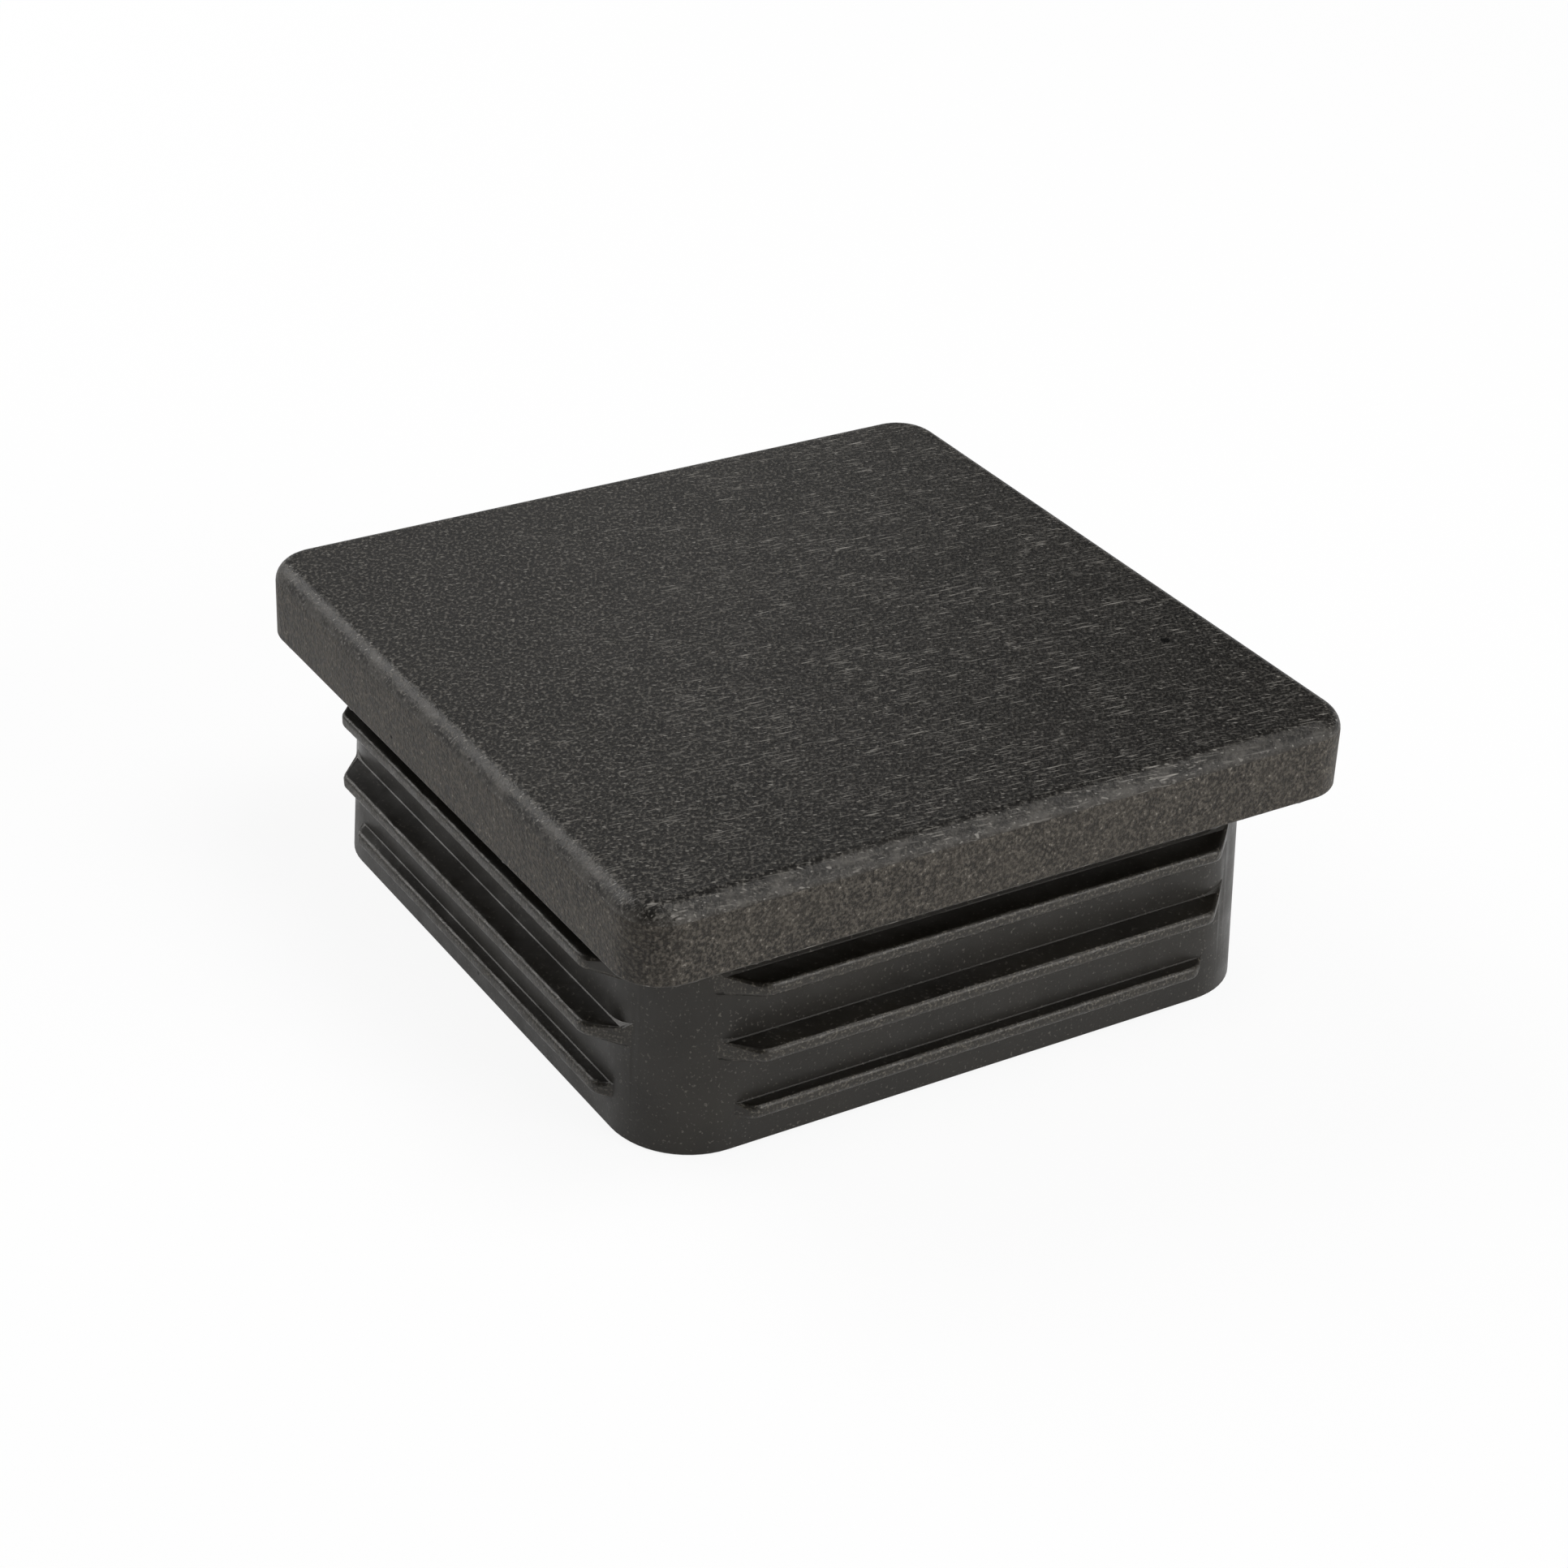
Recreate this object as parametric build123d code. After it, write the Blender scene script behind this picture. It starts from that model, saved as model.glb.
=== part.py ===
from build123d import *
import math
import os

# Push-in end cap for a square tube, moulded in one piece.
# Millimetres. The origin is the centre of the open rim, and +Z points out through the head.

# Square tube that the cap closes
tube_width = 50.0
tube_wall = 2.0

# Head, the square plate that stays outside, flush with the sides of the tube
head_thickness = 5.0
head_corner_radius = 3.0
head_edge_radius = 1.3

# Skirt, the hollow square plug below the head, which spreads a little towards its rim
skirt_length = 14.8
skirt_clearance = 0.95
skirt_spread = 0.2
skirt_corner_at_head = 6.1
skirt_corner_at_rim = 5.1
rim_edge_bevel = 0.15
head_root_fill = 0.15

# Hollow, open at the rim and closed by the head
wall_at_rim = 1.9
hollow_draft = 1.0
roof_thickness = 3.0
roof_edge_radius = 1.0

# Ribs in rows around the skirt: the upper rows are squeezed by the tube, and the lead row
# next to the rim is lower and just clears it
rib_count = 3
first_rib_drop = 2.6
lead_rib_height = 3.2
rib_squeeze = 0.8
lead_rib_clearance = 0.1
rib_tip_height = 0.9
rib_underside_angle = 12.0
rib_end_inset = 6.3
rib_tip_radius = 0.25
rib_lower_bevel = 0.15
rib_end_radius = 0.4
rib_root_fill = 0.15

# Gate mark, the low stub under the middle of the head where the plastic came in
gate_mark_diameter = 2.5
gate_mark_height = 0.5

tube_inside = tube_width - 2 * tube_wall
skirt_width_at_rim = tube_inside - 2 * skirt_clearance
skirt_width_at_head = skirt_width_at_rim - 2 * skirt_spread
roof_height = skirt_length + head_thickness - roof_thickness
rib_spacing = (skirt_length - first_rib_drop - lead_rib_height) / (rib_count - 1)


def outline(width, corner_radius, height):
    """Rounded square around the axis, lying at the given height."""
    return Plane.XY.offset(height) * RectangleRounded(width, width, corner_radius)


def square(width, height):
    """Sharp-cornered square around the axis, lying at the given height."""
    return Plane.XY.offset(height) * Rectangle(width, width)


def skirt_outline(height, margin):
    """Outline of the skirt at a height, drawn larger all round by the margin."""
    share = height / skirt_length
    width = skirt_width_at_rim + share * (skirt_width_at_head - skirt_width_at_rim)
    corner = skirt_corner_at_rim + share * (skirt_corner_at_head - skirt_corner_at_rim)
    return outline(width + 2 * margin, corner + margin, height)


def corner_cut(end_distance, bottom, height):
    """Square prism turned by 45 degrees, whose sides cut the ribs off across each corner."""
    side = 2 * end_distance
    return extrude(Plane.XY.offset(bottom) * Rectangle(side, side, rotation=45), height)


def make_head():
    """Flat square plate with rounded corners and a softer top edge."""
    plate = extrude(outline(tube_width, head_corner_radius, skirt_length), head_thickness)
    top_edges = plate.edges().group_by(Axis.Z)[-1]
    return fillet(top_edges, head_edge_radius)


def make_skirt():
    """Plug with flat sides, whose corners are a little rounder at the head than at the rim."""
    rim_width = skirt_width_at_rim - 2 * rim_edge_bevel
    rim = outline(rim_width, skirt_corner_at_rim - rim_edge_bevel, 0)
    wall_foot = skirt_outline(rim_edge_bevel, 0)
    wall_top = skirt_outline(skirt_length - head_root_fill, 0)
    root = skirt_outline(skirt_length, head_root_fill)
    return loft([rim, wall_foot, wall_top, root], ruled=True)


def make_hollow():
    """Space inside the skirt, which runs on into the head and narrows towards the roof."""
    rim_width = skirt_width_at_rim - 2 * wall_at_rim
    rim_corner = skirt_corner_at_rim - wall_at_rim
    hollow = extrude(outline(rim_width, rim_corner, 0), roof_height, taper=hollow_draft)
    return fillet(hollow.edges().group_by(Axis.Z)[-1], roof_edge_radius)


def make_gate_mark():
    """Low round stub that hangs from the middle of the roof."""
    face = Plane.XY.offset(roof_height - gate_mark_height) * Circle(gate_mark_diameter / 2)
    return extrude(face, gate_mark_height + roof_thickness / 2)


def make_rib_row(top_height, tip_width, end_distance):
    """Four ribs with flat tops, upright tips, sloping undersides and ends cut at 45 degrees."""
    slope = math.tan(math.radians(rib_underside_angle))
    tip_bottom = top_height - rib_tip_height
    root_height = tip_bottom - (tip_width - skirt_width_at_head) / 2 * slope
    root = square(skirt_width_at_head, root_height)
    bevel_width = tip_width - 2 * rib_lower_bevel
    bevel_foot = square(bevel_width, tip_bottom - rib_lower_bevel * slope)
    tip = square(tip_width, tip_bottom + rib_lower_bevel)
    underside = loft([root, bevel_foot, tip], ruled=True)
    plate = underside + extrude(tip, rib_tip_height - rib_lower_bevel)
    row = plate & corner_cut(end_distance, root_height, top_height - root_height)
    row = fillet(row.edges().filter_by(Axis.Z), rib_end_radius)
    return fillet(row.edges().group_by(Axis.Z)[-1], rib_tip_radius)


def make_root_fill(top_height, end_distance):
    """Narrow sloping collar that fills the inside corner between a rib row and the skirt."""
    foot = skirt_outline(top_height, rib_root_fill)
    crown = skirt_outline(top_height + rib_root_fill, 0)
    collar = loft([foot, crown], ruled=True)
    return collar & corner_cut(end_distance - rib_tip_radius, top_height, rib_root_fill)


def make_cap():
    """Head, skirt, ribs and root fills joined, with the hollow taken out."""
    cap = make_head() + make_skirt()
    for row in range(rib_count):
        top_height = skirt_length - first_rib_drop - row * rib_spacing
        tip_width = tube_inside + 2 * rib_squeeze
        if row == rib_count - 1:
            tip_width = tube_inside - 2 * lead_rib_clearance
        half_length = skirt_width_at_rim / 2 - rib_end_inset
        end_distance = (tip_width / 2 + half_length) / math.sqrt(2)
        cap += make_rib_row(top_height, tip_width, end_distance)
        cap += make_root_fill(top_height, end_distance)
    return cap - make_hollow() + make_gate_mark()


os.makedirs("parts", exist_ok=True)
export_step(make_cap(), "parts/end_cap.step")
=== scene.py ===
import math

import bmesh
import bpy
from mathutils import Matrix, Vector


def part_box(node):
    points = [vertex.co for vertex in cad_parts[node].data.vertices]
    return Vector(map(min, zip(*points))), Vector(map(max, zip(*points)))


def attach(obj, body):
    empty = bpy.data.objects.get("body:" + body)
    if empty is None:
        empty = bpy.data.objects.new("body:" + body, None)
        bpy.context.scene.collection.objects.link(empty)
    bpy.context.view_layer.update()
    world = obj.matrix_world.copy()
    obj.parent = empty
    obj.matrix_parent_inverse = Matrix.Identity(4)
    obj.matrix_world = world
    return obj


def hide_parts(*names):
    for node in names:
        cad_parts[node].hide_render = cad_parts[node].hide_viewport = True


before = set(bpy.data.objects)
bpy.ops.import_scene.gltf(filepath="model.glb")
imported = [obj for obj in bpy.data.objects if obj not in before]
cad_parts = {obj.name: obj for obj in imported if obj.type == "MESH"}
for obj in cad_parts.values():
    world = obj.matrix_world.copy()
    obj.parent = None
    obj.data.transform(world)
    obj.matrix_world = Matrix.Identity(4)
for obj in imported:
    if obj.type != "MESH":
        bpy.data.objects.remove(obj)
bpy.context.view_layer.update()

# Looks of a push-in end cap for a square tube: one black moulding, with a grained head and a
# smoother ribbed skirt. It stands on its open rim, with +Z out through the head.

MM = 0.001
low_corner, high_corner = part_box("end_cap")

# Camera, fitted to the photograph
PHOTO_WIDTH = 1932
FOCAL_PIXELS = 4362.15
SENSOR_WIDTH = 36.0
CAMERA_AZIMUTH = math.radians(57.483)
CAMERA_ELEVATION = math.radians(30.024)
CAMERA_ROLL = math.radians(2.606)
CAMERA_FROM_AIM = Vector((-0.29, -0.916, 225.383)) * MM
AIM_HEIGHT = 9.88 * MM
NEAREST_SEEN = 10 * MM

# Light: how bright the room is behind and in front, and each lamp's name, direction, distance,
# size and watts
ROOM_FRONT = (0.84, -0.54, 0)
ROOM_LEVEL_BEHIND = 0.07
ROOM_LEVEL_IN_FRONT = 0.05
LAMPS = [
    ("lamp_above", (0.25, 0.3, 1), 0.8, 0.45, 3.5),
    ("lamp_behind", (-0.8, 0.38, 0.47), 0.4, 0.16, 0.045),
    ("lamp_left", (-0.73, -0.35, 0.587), 0.6, 0.4, 2.1),
    ("lamp_low_left", (-0.35, -0.9, 0.3), 0.6, 0.35, 0.25),
    ("lamp_right", (0.82, 0.45, 0.36), 0.6, 0.3, 1.9),
]

# Head
HEAD_HALF = high_corner.x
TOP_HEIGHT = high_corner.z
HEAD_THICKNESS = 5.0 * MM
HEAD_UNDERSIDE = TOP_HEIGHT - HEAD_THICKNESS
HEAD_CORNER = 3.0 * MM
HEAD_EDGE_RADIUS = 1.3 * MM
HEAD_EDGE_STEPS = 7
LOWER_EDGE_BEVEL = 0.12 * MM

# Skirt
SKIRT_HALF_AT_RIM = 22.05 * MM
SKIRT_HALF_AT_HEAD = 21.85 * MM
SKIRT_CORNER_AT_RIM = 5.1 * MM
SKIRT_CORNER_AT_HEAD = 6.1 * MM
ROOT_FILL = 0.15 * MM
RIM_BEVEL = 0.15 * MM

# Hollow
WALL_AT_RIM = 1.9 * MM
HOLLOW_DRAFT = math.radians(1.0)
ROOF_THICKNESS = 3.0 * MM
ROOF_HEIGHT = TOP_HEIGHT - ROOF_THICKNESS
ROOF_EDGE_RADIUS = 1.0 * MM
ROOF_EDGE_STEPS = 5
GATE_RADIUS = 1.25 * MM
GATE_HEIGHT = 0.5 * MM
GATE_EDGE_RADIUS = 0.12 * MM

# Ribs: the height of each row's flat top and how far its tips stand from the axis
RIB_ROWS = [(12.2 * MM, 23.8 * MM), (7.7 * MM, 23.8 * MM), (3.2 * MM, 22.9 * MM)]
RIB_TIP_HEIGHT = 0.9 * MM
RIB_UNDERSIDE = math.radians(12.0)
RIB_ENDS = {1: 16.15 * MM, -1: 15.8 * MM}
RIB_CORNER_CUT = 0.38 * MM
RIB_EDGE_RADIUS = 0.3 * MM
RIB_ROOT_FILL = 0.06 * MM
RIB_SUNK = 0.9 * MM

# Fineness of the mesh
CORNER_STEPS = 14
GATE_STEPS = 48
SIDE_CUTS = 110
RIB_CUTS = 130
FLAT_BORDER = 0.25 * MM
DRAWN_BELOW = 60 * MM
NEAR = 0.01 * MM
SHARP_ANGLE = math.radians(40)
SMOOTH_ANGLE = math.radians(32)

# Unevenness of the moulding's edges
TIP_UNEVENNESS = 0.022 * MM
LOWER_EDGE_UNEVENNESS = 0.11 * MM
LOWER_EDGE_SEED = 7

# Finishes: their order on the cap, and which faces count as flat or upright
SKIRT, HEAD, RIB_TIPS, HEAD_SIDES = range(4)
FLAT_FROM = 0.9
UPRIGHT_UNTIL = 0.3
WARM_GLOSS = (1, 0.965, 0.92, 1)
GRAIN_DIRECTION = math.radians(57)
# Depth of the paler band on the head's upper edges, partly rubbed wear and partly a painted highlight
EDGE_WEAR_AND_HIGHLIGHT_DEPTH = 0.3 * MM
BROWN_DEPTH = 0.4 * MM

# Small pits, not sunk: each is painted black with less gloss, as the painted shade of a pit
PIT_PAINTED_SHADE = (0.001, 0.001, 0.001)
TOP_PIT = (11.54 * MM, 20.12 * MM, TOP_HEIGHT)
TOP_PIT_RADIUS = 0.45 * MM
SIDE_PIT = (-5.83 * MM, -HEAD_HALF, 15.78 * MM)
SKIRT_PIT = (-0.15 * MM, -22.04 * MM, 1.04 * MM)
SMALL_PIT_RADIUS = 0.16 * MM

# Floor: its paint, and how much of its own white is shown directly and in reflections
FLOOR_SIZE = 4
FLOOR_PAINT = (0.9, 0.9, 0.9, 1)
FLOOR_ROUGHNESS = 0.9
FLOOR_OWN_WHITE = 0.9
FLOOR_MIRRORED_WHITE = 0.45


def pick(kind, wanted):
    """Selects only the verts, edges or faces of the open mesh that pass the test."""
    modes = {"verts": "VERT", "edges": "EDGE", "faces": "FACE"}
    bpy.ops.mesh.select_mode(type=modes[kind])
    bpy.ops.mesh.select_all(action="DESELECT")
    mesh = bmesh.from_edit_mesh(bpy.context.edit_object.data)
    for part in getattr(mesh, kind):
        if wanted(part):
            part.select_set(True)
    bmesh.update_edit_mesh(bpy.context.edit_object.data)


def middle(edge):
    """Middle point of an edge."""
    return (edge.verts[0].co + edge.verts[1].co) / 2


def along(edge, axis):
    """How far an edge reaches along an axis."""
    return abs(edge.verts[0].co[axis] - edge.verts[1].co[axis])


def outside(place):
    """How far a place stands out from the cap's axis towards the nearest side."""
    return max(abs(place.x), abs(place.y))


def draw_outline(half_width, corner, height):
    """Adds a rounded square line to the open mesh, with its long sides cut into short edges."""
    bpy.ops.mesh.select_mode(type="VERT")
    bpy.ops.mesh.select_all(action="DESELECT")
    bpy.ops.mesh.primitive_plane_add(size=2 * half_width, location=(0, 0, height))
    bpy.ops.mesh.bevel(offset=corner, segments=CORNER_STEPS, profile=0.5, affect="VERTICES")
    bpy.ops.mesh.delete(type="ONLY_FACE")
    pick("edges", lambda edge: not edge.link_faces and edge.calc_length() > half_width)
    bpy.ops.mesh.subdivide(number_cuts=SIDE_CUTS)


def skin_to_outline(half_width, corner, height):
    """Draws the next outline well below the rest, joins it by a band of faces and lifts it."""
    draw_outline(half_width, corner, height - DRAWN_BELOW)
    pick("edges", lambda edge: len(edge.link_faces) < 2)
    bpy.ops.mesh.bridge_edge_loops()
    pick("verts", lambda vert: vert.co.z < -NEAR)
    bpy.ops.transform.translate(value=(0, 0, DRAWN_BELOW))


def cap_open_edge():
    """Closes the mesh's open edge with one flat face."""
    pick("edges", lambda edge: len(edge.link_faces) < 2)
    bpy.ops.mesh.edge_face_add()


def border_flat_faces():
    """Gives each large flat face a narrow border, so that it stays flat beside its round edge."""
    pick("faces", lambda face: len(face.verts) > 100)
    bpy.ops.mesh.inset(thickness=FLAT_BORDER)


def start_piece(name):
    """Empty mesh object at the origin, opened for modelling."""
    bpy.ops.object.select_all(action="DESELECT")
    bpy.ops.mesh.primitive_plane_add(size=1, location=(0, 0, 0))
    piece = bpy.context.object
    piece.name = name
    piece.data.name = name
    bpy.ops.object.mode_set(mode="EDIT")
    bpy.ops.mesh.select_all(action="SELECT")
    bpy.ops.mesh.delete(type="VERT")
    return piece


def model_shell():
    """Head, skirt and hollow as one closed skin, drawn outline by outline from the top in."""
    piece = start_piece("cap_moulding")
    draw_outline(HEAD_HALF, HEAD_CORNER, TOP_HEIGHT)
    cap_open_edge()
    skin_to_outline(HEAD_HALF, HEAD_CORNER, HEAD_UNDERSIDE)
    root_corner = SKIRT_CORNER_AT_HEAD + ROOT_FILL
    skin_to_outline(SKIRT_HALF_AT_HEAD + ROOT_FILL, root_corner, HEAD_UNDERSIDE)
    skin_to_outline(SKIRT_HALF_AT_HEAD, SKIRT_CORNER_AT_HEAD, HEAD_UNDERSIDE - ROOT_FILL)
    skin_to_outline(SKIRT_HALF_AT_RIM, SKIRT_CORNER_AT_RIM, RIM_BEVEL)
    skin_to_outline(SKIRT_HALF_AT_RIM - RIM_BEVEL, SKIRT_CORNER_AT_RIM - RIM_BEVEL, 0)
    inner_corner = SKIRT_CORNER_AT_RIM - WALL_AT_RIM
    skin_to_outline(SKIRT_HALF_AT_RIM - WALL_AT_RIM, inner_corner, 0)
    narrowing = ROOF_HEIGHT * math.tan(HOLLOW_DRAFT)
    roof_half = SKIRT_HALF_AT_RIM - WALL_AT_RIM - narrowing
    skin_to_outline(roof_half, inner_corner - narrowing, ROOF_HEIGHT)
    cap_open_edge()
    at_top = lambda edge: abs(middle(edge).z - TOP_HEIGHT) < NEAR
    round_edges(at_top, HEAD_EDGE_RADIUS, HEAD_EDGE_STEPS)
    at_roof = lambda edge: abs(middle(edge).z - ROOF_HEIGHT) < NEAR
    round_edges(at_roof, ROOF_EDGE_RADIUS, ROOF_EDGE_STEPS)
    at_lower_edge = (
        lambda edge: abs(middle(edge).z - HEAD_UNDERSIDE) < NEAR
        and outside(middle(edge)) > HEAD_HALF - HEAD_CORNER / 2
    )
    round_edges(at_lower_edge, LOWER_EDGE_BEVEL, 2)
    border_flat_faces()
    bpy.ops.mesh.select_all(action="SELECT")
    bpy.ops.mesh.normals_make_consistent(inside=False)
    bpy.ops.object.mode_set(mode="OBJECT")
    return piece


def round_edges(wanted, cut, steps):
    """Rounds the sharp edges that pass the test."""
    pick(
        "edges",
        lambda edge: wanted(edge)
        and len(edge.link_faces) == 2
        and edge.calc_face_angle(0) > SHARP_ANGLE,
    )
    bpy.ops.mesh.bevel(offset=cut, segments=steps, profile=0.5, affect="EDGES")


def skirt_half_at(height):
    """Half width of the skirt at a height."""
    share = height / HEAD_UNDERSIDE
    return SKIRT_HALF_AT_RIM + share * (SKIRT_HALF_AT_HEAD - SKIRT_HALF_AT_RIM)


def model_rib(top, reach):
    """One rib on the +X side, sunk into the wall, with its ends cut off at 45 degrees."""
    wall = skirt_half_at(top)
    inner = wall - RIB_SUNK
    bpy.ops.object.select_all(action="DESELECT")
    place = ((inner + reach) / 2, 0, top - RIB_TIP_HEIGHT / 2)
    size = (reach - inner, 2 * HEAD_HALF, RIB_TIP_HEIGHT)
    bpy.ops.mesh.primitive_cube_add(size=1, location=place, scale=size)
    rib = bpy.context.object
    bpy.ops.object.transform_apply(location=True, rotation=True, scale=True)
    bpy.ops.object.mode_set(mode="EDIT")
    lower_inner = lambda vert: vert.co.x < inner + NEAR and vert.co.z < top - NEAR
    pick("verts", lower_inner)
    fall = (reach - inner) * math.tan(RIB_UNDERSIDE)
    bpy.ops.transform.translate(value=(0, 0, -fall))
    bpy.ops.mesh.select_all(action="SELECT")
    bpy.ops.mesh.bisect(plane_co=(wall + RIB_ROOT_FILL, 0, 0), plane_no=(1, 0, 0))
    pick("verts", lambda vert: vert.co.x < inner + NEAR and vert.co.z > top - NEAR)
    bpy.ops.transform.translate(value=(0, 0, wall + RIB_ROOT_FILL - inner))
    for side, end in RIB_ENDS.items():
        bpy.ops.mesh.select_all(action="SELECT")
        bpy.ops.mesh.bisect(
            plane_co=(reach + end, 0, 0), plane_no=(1, side, 0), clear_outer=True, use_fill=True
        )
    at_end_corner = lambda edge: middle(edge).x > reach - NEAR and along(edge, 2) > RIB_TIP_HEIGHT / 2
    round_edges(at_end_corner, RIB_CORNER_CUT, 6)
    root = wall + RIB_ROOT_FILL + NEAR
    round_edges(lambda edge: middle(edge).x > root, RIB_EDGE_RADIUS, 4)
    pick("edges", lambda edge: along(edge, 1) > inner)
    bpy.ops.mesh.subdivide(number_cuts=RIB_CUTS)
    bpy.ops.mesh.select_all(action="SELECT")
    bpy.ops.mesh.normals_make_consistent(inside=False)
    bpy.ops.object.mode_set(mode="OBJECT")
    return rib


def apply_modifier(piece, kind, **settings):
    """Adds a modifier to the piece, sets it and applies it."""
    bpy.ops.object.select_all(action="DESELECT")
    piece.select_set(True)
    bpy.context.view_layer.objects.active = piece
    modifier = piece.modifiers.new(kind.lower(), kind)
    for name, value in settings.items():
        setattr(modifier, name, value)
    bpy.ops.object.modifier_apply(modifier=modifier.name)


def turned_copy(piece, turn):
    """Copy of a piece with its own mesh, turned round the cap's axis."""
    copy = piece.copy()
    copy.data = piece.data.copy()
    bpy.context.scene.collection.objects.link(copy)
    copy.data.transform(Matrix.Rotation(turn, 4, "Z"))
    return copy


def model_ribs():
    """The ribs of all rows and sides, as one object."""
    ribs = []
    for top, reach in RIB_ROWS:
        rib = model_rib(top, reach)
        ribs.append(rib)
        ribs += [turned_copy(rib, quarter * math.pi / 2) for quarter in (1, 2, 3)]
    bpy.ops.object.select_all(action="DESELECT")
    for rib in ribs:
        rib.select_set(True)
    bpy.context.view_layer.objects.active = ribs[0]
    bpy.ops.object.join()
    return bpy.context.object


def model_gate_mark():
    """Low round stub under the middle of the roof."""
    bpy.ops.object.select_all(action="DESELECT")
    depth = 2 * GATE_HEIGHT
    bpy.ops.mesh.primitive_cylinder_add(
        vertices=GATE_STEPS, radius=GATE_RADIUS, depth=depth, location=(0, 0, ROOF_HEIGHT)
    )
    bpy.ops.object.transform_apply(location=True, rotation=True, scale=True)
    stub = bpy.context.object
    bpy.ops.object.mode_set(mode="EDIT")
    round_edges(lambda edge: middle(edge).z < ROOF_HEIGHT, GATE_EDGE_RADIUS, 3)
    bpy.ops.object.mode_set(mode="OBJECT")
    return stub


def join_to(piece, addition):
    """Joins another closed form to the piece as one skin, and removes the other."""
    apply_modifier(piece, "BOOLEAN", operation="UNION", solver="EXACT", object=addition)
    bpy.data.objects.remove(addition)


def model_cap():
    """The whole moulding, with smooth rounds and crisp edges."""
    cap = model_shell()
    join_to(cap, model_ribs())
    join_to(cap, model_gate_mark())
    bpy.ops.object.select_all(action="DESELECT")
    cap.select_set(True)
    bpy.context.view_layer.objects.active = cap
    roughen_edges()
    bpy.ops.object.shade_smooth_by_angle(angle=SMOOTH_ANGLE)
    return cap


def nudge(wanted, amount, seed):
    """Moves the verts that pass the test a little, each its own way."""
    pick("verts", wanted)
    bpy.ops.transform.vertex_random(offset=amount, seed=seed)


def roughen_edges():
    """Slightly uneven rib tips and lower head edge, as the mould leaves them."""
    bpy.ops.object.mode_set(mode="EDIT")
    for row, (top, reach) in enumerate(RIB_ROWS):
        at_tips = (
            lambda vert: outside(vert.co) > reach - RIB_EDGE_RADIUS - NEAR
            and top - 2 * RIB_TIP_HEIGHT < vert.co.z < top + NEAR
        )
        nudge(at_tips, TIP_UNEVENNESS, row)
    at_lower_edge = (
        lambda vert: abs(vert.co.z - HEAD_UNDERSIDE) < NEAR
        and outside(vert.co) > HEAD_HALF - 2 * LOWER_EDGE_BEVEL
    )
    nudge(at_lower_edge, LOWER_EDGE_UNEVENNESS, LOWER_EDGE_SEED)
    bpy.ops.object.mode_set(mode="OBJECT")


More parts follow.
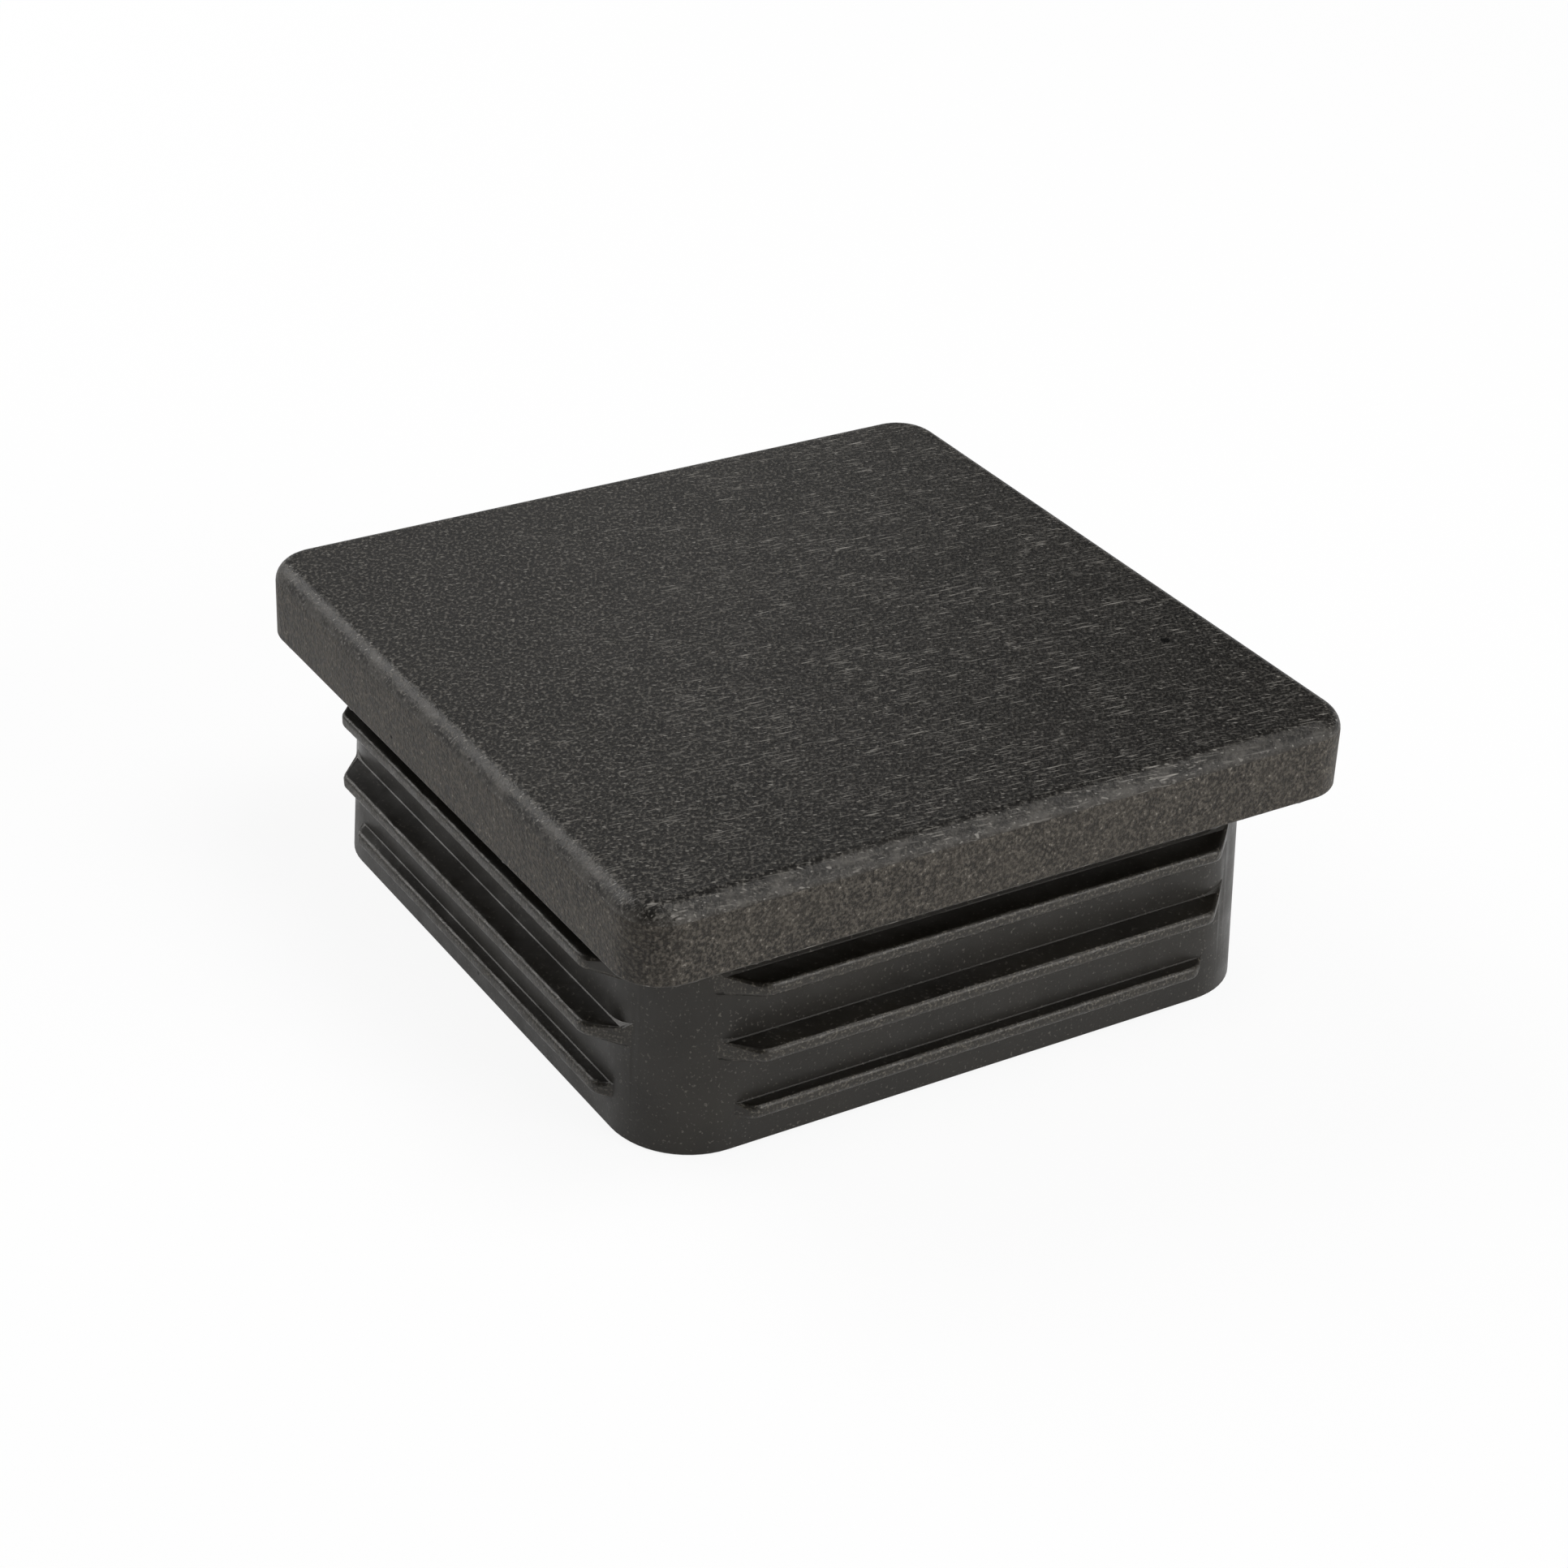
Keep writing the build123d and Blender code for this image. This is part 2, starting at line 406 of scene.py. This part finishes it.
class Finish:
    """A procedural finish of the moulding, whose patterns are laid out in metres."""

    def __init__(self, name, gloss_level):
        self.material = bpy.data.materials.new(name)
        self.material.use_nodes = True
        self.nodes = self.material.node_tree.nodes
        self.links = self.material.node_tree.links
        self.shader = self.nodes["Principled BSDF"]
        self.shader.inputs["Specular IOR Level"].default_value = gloss_level
        self.shader.inputs["Specular Tint"].default_value = WARM_GLOSS
        self.place = self.nodes.new("ShaderNodeTexCoord").outputs["Object"]
        self.last_bump = None

    def along(self, angle, length, width, depth):
        """The place turned about the axis and squeezed, for spots that are long one way."""
        mapping = self.nodes.new("ShaderNodeMapping")
        mapping.vector_type = "TEXTURE"
        mapping.inputs["Rotation"].default_value = (0, 0, angle)
        mapping.inputs["Scale"].default_value = (length, width, depth)
        self.links.new(self.place, mapping.inputs["Vector"])
        return mapping.outputs["Vector"]

    def part_of(self, vector, axis):
        """One part of a place, along one of its axes."""
        parts = self.nodes.new("ShaderNodeSeparateXYZ")
        self.links.new(vector, parts.inputs["Vector"])
        return parts.outputs[axis]

    def outwards(self):
        """How far a place stands out from the cap's axis towards the nearest side."""
        reaches = []
        for axis in "XY":
            reach = self.nodes.new("ShaderNodeMath")
            reach.operation = "ABSOLUTE"
            self.links.new(self.part_of(self.place, axis), reach.inputs[0])
            reaches.append(reach.outputs["Value"])
        return self.combined("MAXIMUM", *reaches)

    def painted_pit_shade(self, colour, centre, radius):
        """Colour with the painted shade of one small round pit in it: not sunk, but black and with a
        third of the gloss.
        """
        gap = self.nodes.new("ShaderNodeVectorMath")
        gap.operation = "DISTANCE"
        gap.inputs[1].default_value = centre
        self.links.new(self.place, gap.inputs[0])
        pit = self.ranged(gap.outputs["Value"], radius / 2, radius, 1, 0)
        gloss = self.shader.inputs["Specular IOR Level"]
        self.links.new(self.ranged(pit, 0, 1, gloss.default_value, gloss.default_value / 3), gloss)
        return self.blended(pit, colour, PIT_PAINTED_SHADE)

    def cloudy(self, size, detail=2, roughness=0.5, vector=None):
        """Soft random pattern whose spots are about as wide as the size."""
        noise = self.nodes.new("ShaderNodeTexNoise")
        noise.inputs["Scale"].default_value = 1 / size
        noise.inputs["Detail"].default_value = detail
        noise.inputs["Roughness"].default_value = roughness
        self.links.new(vector or self.place, noise.inputs["Vector"])
        return noise.outputs["Fac"]

    def ranged(self, value, low, high, low_result, high_result):
        """Stretches a value between two limits, with soft ends."""
        stretch = self.nodes.new("ShaderNodeMapRange")
        stretch.interpolation_type = "SMOOTHSTEP"
        settings = (low, high, low_result, high_result)
        for name, number in zip(("From Min", "From Max", "To Min", "To Max"), settings):
            stretch.inputs[name].default_value = number
        self.links.new(value, stretch.inputs["Value"])
        return stretch.outputs["Result"]

    def combined(self, kind, first, second):
        """Two values added, multiplied or compared."""
        pair = self.nodes.new("ShaderNodeMath")
        pair.operation = kind
        self.links.new(first, pair.inputs[0])
        self.links.new(second, pair.inputs[1])
        return pair.outputs["Value"]

    def blended(self, share, first, second):
        """Colour that goes from the first to the second as the share rises."""
        mix = self.nodes.new("ShaderNodeMix")
        mix.data_type = "RGBA"
        for socket, colour in ((mix.inputs[6], first), (mix.inputs[7], second)):
            if isinstance(colour, tuple):
                socket.default_value = (*colour, 1)
            else:
                self.links.new(colour, socket)
        self.links.new(share, mix.inputs[0])
        return mix.outputs[2]

    def raise_by(self, height, distance, strength=1.0):
        """Raises the surface by a pattern, on top of the patterns before it."""
        bump = self.nodes.new("ShaderNodeBump")
        bump.inputs["Distance"].default_value = distance
        bump.inputs["Strength"].default_value = strength
        self.links.new(height, bump.inputs["Height"])
        if self.last_bump:
            self.links.new(self.last_bump, bump.inputs["Normal"])
        self.last_bump = bump.outputs["Normal"]

    def finish(self, colour, roughness):
        """Joins colour, roughness and relief to the surface."""
        self.links.new(colour, self.shader.inputs["Base Color"])
        self.links.new(roughness, self.shader.inputs["Roughness"])
        self.links.new(self.last_bump, self.shader.inputs["Normal"])
        return self.material


def grained_head_finish():
    """Spark-eroded grain of the head, with pale fibres in the black and pale specks that are painted
    glints. Its upper edges carry a painted highlight mixed with rubbed wear, and painted shade
    darkens its top towards the +X+Y corner.
    """
    head = Finish("grained_head", 0.31)
    grain = head.cloudy(1, 2, 0.6, head.along(GRAIN_DIRECTION, 0.21 * MM, 0.3 * MM, 0.2 * MM))
    pits = head.cloudy(0.5 * MM, 2)
    clouds = head.cloudy(5 * MM, 5, 0.65)
    across = head.part_of(head.along(GRAIN_DIRECTION, 1, 1, 1), "X")
    streaked = head.ranged(across, -22 * MM, 4 * MM, 0.15, 1)
    # Painted shade: fewer pale grains towards the +X+Y corner darken the top that way
    painted_shade_to_corner = head.ranged(across, -15 * MM, 20 * MM, 1, 0.5)
    patches = head.ranged(
        head.cloudy(1, 3, 0.6, head.along(math.radians(68), 7 * MM, 2.5 * MM, 3 * MM)),
        0.40, 0.64, 0.3, 1,
    )
    fibres = head.ranged(
        head.cloudy(1, 2, 0.55, head.along(math.radians(70), 0.8 * MM, 0.11 * MM, 0.2 * MM)),
        0.55, 0.74, 0, 0.5,
    )
    long_fibres = head.ranged(
        head.cloudy(1, 1, 0.5, head.along(math.radians(86), 1.8 * MM, 0.12 * MM, 0.2 * MM)),
        0.61, 0.74, 0, 1,
    )
    # Painted glints: sparse pale flecks standing in for glints off fine scratches
    painted_glints = head.ranged(
        head.cloudy(1, 0, 0.5, head.along(math.radians(66), 0.4 * MM, 0.16 * MM, 0.2 * MM)),
        0.72, 0.80, 0, 0.8,
    )
    # Paler patches along the upper edges: partly rubbed wear, partly a painted highlight
    edge = head.ranged(
        head.outwards(), HEAD_HALF - HEAD_EDGE_RADIUS, HEAD_HALF - EDGE_WEAR_AND_HIGHLIGHT_DEPTH, 0, 0.5
    )
    wear_and_sheen_patches = head.ranged(head.cloudy(2.5 * MM, 4, 0.7), 0.46, 0.62, 0, 1)
    edge_wear_and_highlight = head.combined("MULTIPLY", edge, wear_and_sheen_patches)
    height = head.part_of(head.place, "Z")
    lower = head.ranged(height, TOP_HEIGHT - HEAD_EDGE_RADIUS, TOP_HEIGHT - BROWN_DEPTH, 1, 0)
    fibres = head.combined("MAXIMUM", fibres, long_fibres)
    fibres = head.combined("MULTIPLY", fibres, head.combined("MULTIPLY", streaked, patches))
    black = head.blended(
        head.ranged(clouds, 0.35, 0.65, 0, 1), (0.0030, 0.0026, 0.0022), (0.0065, 0.0058, 0.0050)
    )
    black = head.blended(lower, black, (0.022, 0.0185, 0.0145))
    grains_and_painted_shade = head.combined("MULTIPLY", head.ranged(grain, 0.46, 0.72, 0, 1), painted_shade_to_corner)
    black = head.blended(grains_and_painted_shade, black, (0.100, 0.093, 0.082))
    colour = head.blended(fibres, black, (0.250, 0.236, 0.213))
    colour = head.blended(painted_glints, colour, (0.220, 0.208, 0.188))
    colour = head.blended(edge_wear_and_highlight, colour, (0.085, 0.079, 0.070))
    colour = head.painted_pit_shade(colour, TOP_PIT, TOP_PIT_RADIUS)
    roughness = head.combined(
        "ADD", head.ranged(grain, 0.3, 0.7, 0.32, 0.46), head.ranged(edge, 0, 0.5, 0, 0.09)
    )
    head.raise_by(pits, 0.05 * MM, 0.5)
    head.raise_by(grain, 0.05 * MM, 0.8)
    return head.finish(colour, roughness)


def matt_side_finish():
    """Upright sides of the head, matter, browner and coarser than its top."""
    side = Finish("matt_head_sides", 0.25)
    grain = side.cloudy(0.22 * MM, 3, 0.6)
    pits = side.cloudy(0.6 * MM, 2)
    clouds = side.cloudy(3 * MM, 4, 0.6)
    black = side.blended(
        side.ranged(clouds, 0.35, 0.65, 0, 1), (0.012, 0.0100, 0.0078), (0.026, 0.0220, 0.0172)
    )
    black = side.blended(side.ranged(grain, 0.38, 0.70, 0, 1), black, (0.105, 0.093, 0.077))
    specks = side.ranged(side.cloudy(0.22 * MM, 1), 0.70, 0.80, 0, 0.8)
    colour = side.blended(specks, black, (0.260, 0.240, 0.210))
    colour = side.painted_pit_shade(colour, SIDE_PIT, SMALL_PIT_RADIUS)
    roughness = side.ranged(grain, 0.3, 0.7, 0.46, 0.64)
    side.raise_by(pits, 0.12 * MM, 0.8)
    side.raise_by(grain, 0.14 * MM, 1.0)
    return side.finish(colour, roughness)


def satin_skirt_finish():
    """Smoother satin of the skirt, with faint waves and a few fine specks."""
    skirt = Finish("satin_skirt", 0.46)
    grain = skirt.cloudy(0.2 * MM, 2)
    waves = skirt.cloudy(2.2 * MM, 3, 0.55)
    clouds = skirt.cloudy(6 * MM, 3)
    specks = skirt.ranged(skirt.cloudy(0.2 * MM, 1), 0.62, 0.78, 0, 0.6)
    black = skirt.blended(
        skirt.ranged(clouds, 0.35, 0.65, 0, 1), (0.0060, 0.0050, 0.0034), (0.0100, 0.0084, 0.0058)
    )
    colour = skirt.blended(specks, black, (0.120, 0.110, 0.095))
    colour = skirt.painted_pit_shade(colour, SKIRT_PIT, SMALL_PIT_RADIUS)
    roughness = skirt.ranged(waves, 0.3, 0.7, 0.30, 0.44)
    skirt.raise_by(waves, 0.02 * MM, 0.5)
    skirt.raise_by(grain, 0.012 * MM, 0.6)
    return skirt.finish(colour, roughness)


def rib_wear_and_painted_highlight_finish():
    """Rib tips, rougher where the mould and handling have rubbed them, and paler, partly from that
    wear and partly as a painted highlight on their crests.
    """
    tips = Finish("rough_rib_tips", 0.42)
    grain = tips.cloudy(0.16 * MM, 3, 0.6)
    wear_and_sheen_patches = tips.cloudy(1.2 * MM, 3, 0.6)
    specks = tips.ranged(tips.cloudy(0.18 * MM, 2), 0.50, 0.70, 0, 0.7)
    # Paler black than the skirt's: partly rubbed wear, partly a painted highlight on the crests
    black = tips.blended(
        tips.ranged(wear_and_sheen_patches, 0.35, 0.65, 0, 1), (0.012, 0.0105, 0.0080), (0.024, 0.0210, 0.0165)
    )
    colour = tips.blended(specks, black, (0.130, 0.117, 0.096))
    roughness = tips.ranged(wear_and_sheen_patches, 0.3, 0.7, 0.30, 0.48)
    tips.raise_by(wear_and_sheen_patches, 0.05 * MM, 0.5)
    tips.raise_by(grain, 0.03 * MM, 0.8)
    return tips.finish(colour, roughness)


def give_finish(cap, slot, wanted):
    """Gives one of the cap's finishes to the faces that pass the test."""
    pick("faces", wanted)
    cap.active_material_index = slot
    bpy.ops.object.material_slot_assign()


def finish_surfaces(cap):
    """Grain on the head, matt on its sides, satin on the skirt and roughness on the rib tips."""
    cap.data.materials.clear()
    makers = {
        SKIRT: satin_skirt_finish,
        HEAD: grained_head_finish,
        RIB_TIPS: rib_wear_and_painted_highlight_finish,
        HEAD_SIDES: matt_side_finish,
    }
    for slot in sorted(makers):
        cap.data.materials.append(makers[slot]())
    bpy.ops.object.mode_set(mode="EDIT")
    on_head = lambda face: (
        face.calc_center_median().z > HEAD_UNDERSIDE + NEAR
        and outside(face.calc_center_median()) > SKIRT_HALF_AT_HEAD
    ) or face.calc_center_median().z > TOP_HEIGHT - HEAD_EDGE_RADIUS
    on_rib = lambda face: (
        face.calc_center_median().z < HEAD_UNDERSIDE - ROOT_FILL
        and outside(face.calc_center_median()) > SKIRT_HALF_AT_RIM + ROOT_FILL + 2 * NEAR
        and abs(face.normal.z) < FLAT_FROM
    )
    on_side = lambda face: on_head(face) and abs(face.normal.z) < UPRIGHT_UNTIL
    give_finish(cap, HEAD, on_head)
    give_finish(cap, RIB_TIPS, on_rib)
    give_finish(cap, HEAD_SIDES, on_side)
    bpy.ops.object.mode_set(mode="OBJECT")


def make_floor():
    """Pale floor that the cap stands on."""
    bpy.ops.object.select_all(action="DESELECT")
    bpy.ops.mesh.primitive_plane_add(size=FLOOR_SIZE, location=(0, 0, 0))
    floor = bpy.context.object
    floor.name = "floor"
    floor.data.materials.append(floor_finish())


def floor_finish():
    """Matt white that is mostly its own white to the camera, so that the shadow on it is faint."""
    material = bpy.data.materials.new("pale_floor")
    material.use_nodes = True
    nodes = material.node_tree.nodes
    links = material.node_tree.links
    paint = nodes["Principled BSDF"]
    paint.inputs["Base Color"].default_value = FLOOR_PAINT
    paint.inputs["Roughness"].default_value = FLOOR_ROUGHNESS
    paint.inputs["Specular IOR Level"].default_value = 0
    white = nodes.new("ShaderNodeEmission")
    white.inputs["Color"].default_value = (1, 1, 1, 1)
    white.inputs["Strength"].default_value = 1
    ray = nodes.new("ShaderNodeLightPath")
    mirrored = nodes.new("ShaderNodeMath")
    mirrored.operation = "MULTIPLY"
    mirrored.inputs[1].default_value = FLOOR_MIRRORED_WHITE
    links.new(ray.outputs["Is Glossy Ray"], mirrored.inputs[0])
    seen = nodes.new("ShaderNodeMath")
    seen.operation = "MAXIMUM"
    links.new(ray.outputs["Is Camera Ray"], seen.inputs[0])
    links.new(mirrored.outputs["Value"], seen.inputs[1])
    seen_through = nodes.new("ShaderNodeMath")
    seen_through.operation = "MAXIMUM"
    links.new(seen.outputs["Value"], seen_through.inputs[0])
    links.new(ray.outputs["Is Transmission Ray"], seen_through.inputs[1])
    share = nodes.new("ShaderNodeMath")
    share.operation = "MULTIPLY"
    share.inputs[1].default_value = FLOOR_OWN_WHITE
    links.new(seen_through.outputs["Value"], share.inputs[0])
    mix = nodes.new("ShaderNodeMixShader")
    links.new(share.outputs["Value"], mix.inputs["Fac"])
    links.new(paint.outputs["BSDF"], mix.inputs[1])
    links.new(white.outputs["Emission"], mix.inputs[2])
    links.new(mix.outputs["Shader"], nodes["Material Output"].inputs["Surface"])
    return material


def make_lamp(name, direction, distance, size, watts):
    """Square soft lamp that shines at the cap from a direction."""
    data = bpy.data.lights.new(name, "AREA")
    data.shape = "SQUARE"
    data.size = size
    data.energy = watts
    lamp = bpy.data.objects.new(name, data)
    bpy.context.scene.collection.objects.link(lamp)
    towards = Vector(direction).normalized()
    lamp.location = towards * distance
    lamp.rotation_euler = towards.to_track_quat("Z", "Y").to_euler()


def make_light():
    """A room that is a little darker in front, and the lamps around and above the cap."""
    world = bpy.data.worlds.new("room")
    bpy.context.scene.world = world
    world.use_nodes = True
    nodes = world.node_tree.nodes
    links = world.node_tree.links
    around = nodes.new("ShaderNodeTexCoord")
    facing = nodes.new("ShaderNodeVectorMath")
    facing.operation = "DOT_PRODUCT"
    facing.inputs[1].default_value = ROOM_FRONT
    level = nodes.new("ShaderNodeMapRange")
    level.inputs["From Min"].default_value = -1
    level.inputs["From Max"].default_value = 1
    level.inputs["To Min"].default_value = ROOM_LEVEL_BEHIND
    level.inputs["To Max"].default_value = ROOM_LEVEL_IN_FRONT
    links.new(around.outputs["Generated"], facing.inputs[0])
    links.new(facing.outputs["Value"], level.inputs["Value"])
    links.new(level.outputs["Result"], nodes["Background"].inputs["Strength"])
    nodes["Background"].inputs["Color"].default_value = (1, 1, 1, 1)
    for lamp in LAMPS:
        make_lamp(*lamp)


def make_camera():
    """Camera at the photograph's place, looking at the middle of the cap."""
    data = bpy.data.cameras.new("camera")
    data.sensor_width = SENSOR_WIDTH
    data.lens = FOCAL_PIXELS / PHOTO_WIDTH * SENSOR_WIDTH
    camera = bpy.data.objects.new("camera", data)
    bpy.context.scene.collection.objects.link(camera)
    aim = Matrix.Translation((0, 0, AIM_HEIGHT))
    turn = Matrix.Rotation(CAMERA_AZIMUTH, 4, "Z")
    tilt = Matrix.Rotation(math.pi / 2 - CAMERA_ELEVATION, 4, "X")
    roll = Matrix.Rotation(CAMERA_ROLL, 4, "Z")
    camera.matrix_world = aim @ turn @ tilt @ roll @ Matrix.Translation(CAMERA_FROM_AIM)
    data.clip_start = NEAREST_SEEN
    bpy.context.scene.camera = camera


bpy.context.scene.view_settings.view_transform = "Standard"
cap = model_cap()
finish_surfaces(cap)
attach(cap, "root")
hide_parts("end_cap")
make_floor()
make_light()
make_camera()
